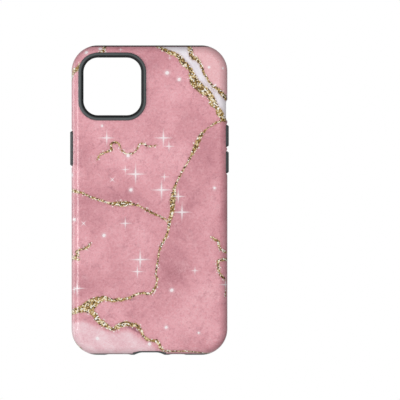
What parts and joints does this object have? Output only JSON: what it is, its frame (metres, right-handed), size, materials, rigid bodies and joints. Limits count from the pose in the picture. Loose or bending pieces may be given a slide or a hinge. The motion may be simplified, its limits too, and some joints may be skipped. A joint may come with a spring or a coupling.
{
  "type": "phone case",
  "caption": "Two-layer phone case: glossy printed hard shell over a soft dark grey liner, with a raised camera collar, sprung side buttons and end openings.",
  "frame": {"origin": "middle of the flat face of the liner that the back of the phone lies on", "axes": "+Z along the length towards the camera end, +Y out through the open front where the screen is, +X to the right when the back of the case is seen"},
  "size_m": [0.0854, 0.0144, 0.1666],
  "materials": {
    "printed_shell": "glossy, printed with a pink marble and gold glitter pattern",
    "soft_liner": "satin, fine moulded grain",
    "soft_pads": "satin, fine moulded grain"
  },
  "bodies": {
    "case": {"outer_shell": "printed_shell", "inner_liner": "soft_liner", "camera_collar": "soft_liner"},
    "power_pad": {"power_button": "soft_pads"},
    "volume_up_pad": {"volume_up_button": "soft_pads"},
    "volume_down_pad": {"volume_down_button": "soft_pads"}
  },
  "joints": [
    {"name": "power_press", "type": "slide", "parent": "case", "child": "power_pad", "axis": [1, 0, 0], "range_m": [0, 0.0005], "stiffness_N_per_m": 4000},
    {"name": "volume_up_press", "type": "slide", "parent": "case", "child": "volume_up_pad", "axis": [-1, 0, 0], "range_m": [0, 0.0005], "stiffness_N_per_m": 4000},
    {"name": "volume_down_press", "type": "slide", "parent": "case", "child": "volume_down_pad", "axis": [-1, 0, 0], "range_m": [0, 0.0005], "stiffness_N_per_m": 4000}
  ]
}
